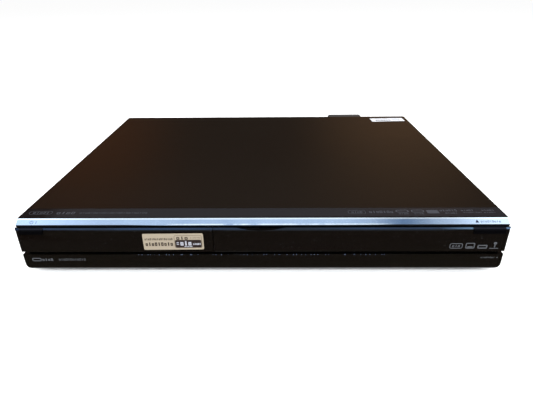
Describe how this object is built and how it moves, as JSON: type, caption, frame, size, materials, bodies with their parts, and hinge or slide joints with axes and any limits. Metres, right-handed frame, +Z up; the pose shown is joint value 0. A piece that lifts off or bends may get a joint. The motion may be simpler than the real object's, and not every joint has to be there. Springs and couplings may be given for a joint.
{
  "type": "disc and hard disk recorder",
  "caption": "Full-width low recorder with a disc tray, pull-down front flap, silver bar, hard disk, working keys, loading gears and rear fan.",
  "frame": {"origin": "middle of the bounding box at table level, under the feet", "axes": "+X to the right seen from the front, -Y towards the viewer, +Z up"},
  "size_m": [0.43, 0.3546, 0.059],
  "materials": {
    "front_panel": "glossy top strip, satin wall",
    "silver_bar": "silver, slightly blue",
    "tray_front": "mirror black",
    "front_flap": "mirror black",
    "power_key": "glossy",
    "open_close_key": "glossy",
    "channel_down_key": "satin",
    "channel_up_key": "satin",
    "stop_key": "satin",
    "play_key": "satin",
    "record_key": "satin",
    "power_switch_board": "paper laminate",
    "control_board": "paper laminate",
    "display_window": "smoked",
    "display_tube": "dark glass",
    "front_jacks": "satin",
    "card_slot": "tinned",
    "digital_port": "tinned",
    "chassis": "zinc plated",
    "rear_panel": "zinc plated",
    "top_cover": "satin black-brown",
    "foot_front_left": "matt",
    "foot_front_right": "matt",
    "foot_rear_left": "matt",
    "foot_rear_right": "matt",
    "drive_base": "satin",
    "disc_tray": "satin",
    "loading_gear": "satin",
    "loading_pinion": "satin",
    "loading_motor": "satin",
    "traverse_frame": "satin",
    "guide_rod_left": "polished",
    "guide_rod_right": "polished",
    "spindle_motor": "satin",
    "turntable": "satin",
    "pickup": "die cast",
    "sled_motor": "satin",
    "sled_gear": "satin",
    "clamp_bridge": "satin",
    "clamp_puck": "satin",
    "hard_disk": "cast and satin",
    "disk_bracket": "zinc plated",
    "power_board": "paper laminate",
    "main_board": "lacquered laminate",
    "jack_board": "lacquered laminate",
    "transformer": "lacquered",
    "main_capacitor": "plastic sleeve",
    "heat_sink": "extruded",
    "heat_spreader": "extruded",
    "ac_inlet": "satin",
    "audio_video_jacks": "satin",
    "component_jacks": "satin",
    "display_socket": "tinned",
    "network_socket": "tinned",
    "optical_socket": "satin",
    "tuner": "tinned",
    "fan_housing": "satin",
    "fan_frame": "satin",
    "fan_rotor": "satin"
  },
  "bodies": {
    "case": {"front_panel": "front_panel", "silver_bar": "silver_bar", "power_switch_board": "power_switch_board", "control_board": "control_board", "display_window": "display_window", "display_tube": "display_tube", "front_jacks": "front_jacks", "card_slot": "card_slot", "digital_port": "digital_port", "chassis": "chassis", "rear_panel": "rear_panel", "top_cover": "top_cover", "foot_front_left": "foot_front_left", "foot_front_right": "foot_front_right", "foot_rear_left": "foot_rear_left", "foot_rear_right": "foot_rear_right", "drive_base": "drive_base", "loading_motor": "loading_motor", "traverse_frame": "traverse_frame", "guide_rod_left": "guide_rod_left", "guide_rod_right": "guide_rod_right", "spindle_motor": "spindle_motor", "sled_motor": "sled_motor", "clamp_bridge": "clamp_bridge", "hard_disk": "hard_disk", "disk_bracket": "disk_bracket", "power_board": "power_board", "main_board": "main_board", "jack_board": "jack_board", "transformer": "transformer", "main_capacitor": "main_capacitor", "heat_sink": "heat_sink", "heat_spreader": "heat_spreader", "ac_inlet": "ac_inlet", "audio_video_jacks": "audio_video_jacks", "component_jacks": "component_jacks", "display_socket": "display_socket", "network_socket": "network_socket", "optical_socket": "optical_socket", "tuner": "tuner", "fan_housing": "fan_housing", "fan_frame": "fan_frame"},
    "tray": {"disc_tray": "disc_tray", "tray_front": "tray_front"},
    "flap": {"front_flap": "front_flap"},
    "power_key": {"power_key": "power_key"},
    "open_close_key": {"open_close_key": "open_close_key"},
    "channel_down_key": {"channel_down_key": "channel_down_key"},
    "channel_up_key": {"channel_up_key": "channel_up_key"},
    "stop_key": {"stop_key": "stop_key"},
    "play_key": {"play_key": "play_key"},
    "record_key": {"record_key": "record_key"},
    "loading_gear": {"loading_gear": "loading_gear"},
    "loading_pinion": {"loading_pinion": "loading_pinion"},
    "turntable": {"turntable": "turntable"},
    "clamp_puck": {"clamp_puck": "clamp_puck"},
    "pickup": {"pickup": "pickup"},
    "sled_gear": {"sled_gear": "sled_gear"},
    "fan_rotor": {"fan_rotor": "fan_rotor"}
  },
  "joints": [
    {"name": "tray_slide", "type": "slide", "parent": "case", "child": "tray", "axis": [0, -1, 0], "range_m": [0, 0.138]},
    {"name": "flap_hinge", "type": "hinge", "parent": "case", "child": "flap", "pos_m": [0.086, -0.1714, 0.031], "axis": [1, 0, 0], "range_deg": [0, 90]},
    {"name": "power_key_press", "type": "slide", "parent": "case", "child": "power_key", "axis": [0, 1, 0], "range_m": [0, 0.0012], "stiffness_N_per_m": 400},
    {"name": "open_close_key_press", "type": "slide", "parent": "case", "child": "open_close_key", "axis": [0, 1, 0], "range_m": [0, 0.0012], "stiffness_N_per_m": 400},
    {"name": "channel_down_key_press", "type": "slide", "parent": "case", "child": "channel_down_key", "axis": [0, 1, 0], "range_m": [0, 0.0012], "stiffness_N_per_m": 400},
    {"name": "channel_up_key_press", "type": "slide", "parent": "case", "child": "channel_up_key", "axis": [0, 1, 0], "range_m": [0, 0.0012], "stiffness_N_per_m": 400},
    {"name": "stop_key_press", "type": "slide", "parent": "case", "child": "stop_key", "axis": [0, 1, 0], "range_m": [0, 0.0012], "stiffness_N_per_m": 400},
    {"name": "play_key_press", "type": "slide", "parent": "case", "child": "play_key", "axis": [0, 1, 0], "range_m": [0, 0.0012], "stiffness_N_per_m": 400},
    {"name": "record_key_press", "type": "slide", "parent": "case", "child": "record_key", "axis": [0, 1, 0], "range_m": [0, 0.0012], "stiffness_N_per_m": 400},
    {"name": "loading_gear_spin", "type": "hinge", "parent": "case", "child": "loading_gear", "pos_m": [-0.0754, -0.1424, 0.031], "axis": [0, 0, -1], "range_deg": [0, 990]},
    {"name": "loading_pinion_spin", "type": "hinge", "parent": "case", "child": "loading_pinion", "pos_m": [-0.0934, -0.1424, 0.028], "axis": [0, 0, 1], "range_deg": [0, 3465]},
    {"name": "turntable_spin", "type": "hinge", "parent": "case", "child": "turntable", "pos_m": [-0.126, -0.1044, 0.029], "axis": [0, 0, -1], "continuous": true},
    {"name": "clamp_spin", "type": "hinge", "parent": "case", "child": "clamp_puck", "pos_m": [-0.126, -0.1044, 0.045], "axis": [0, 0, -1], "continuous": true},
    {"name": "pickup_slide", "type": "slide", "parent": "case", "child": "pickup", "axis": [0, 1, 0], "range_m": [0, 0.03]},
    {"name": "sled_gear_spin", "type": "hinge", "parent": "case", "child": "sled_gear", "pos_m": [-0.0876, -0.0574, 0.0226], "axis": [0, 0, -1], "range_deg": [0, 345]},
    {"name": "fan_spin", "type": "hinge", "parent": "case", "child": "fan_rotor", "pos_m": [0.12448, 0.1636, 0.03395], "axis": [0, 1, 0], "continuous": true}
  ],
  "couplings": [
    {"joint": "loading_gear_spin", "follows": "tray_slide", "rad_per_m": 125},
    {"joint": "loading_pinion_spin", "follows": "tray_slide", "rad_per_m": 437.5},
    {"joint": "sled_gear_spin", "follows": "pickup_slide", "rad_per_m": 200}
  ]
}
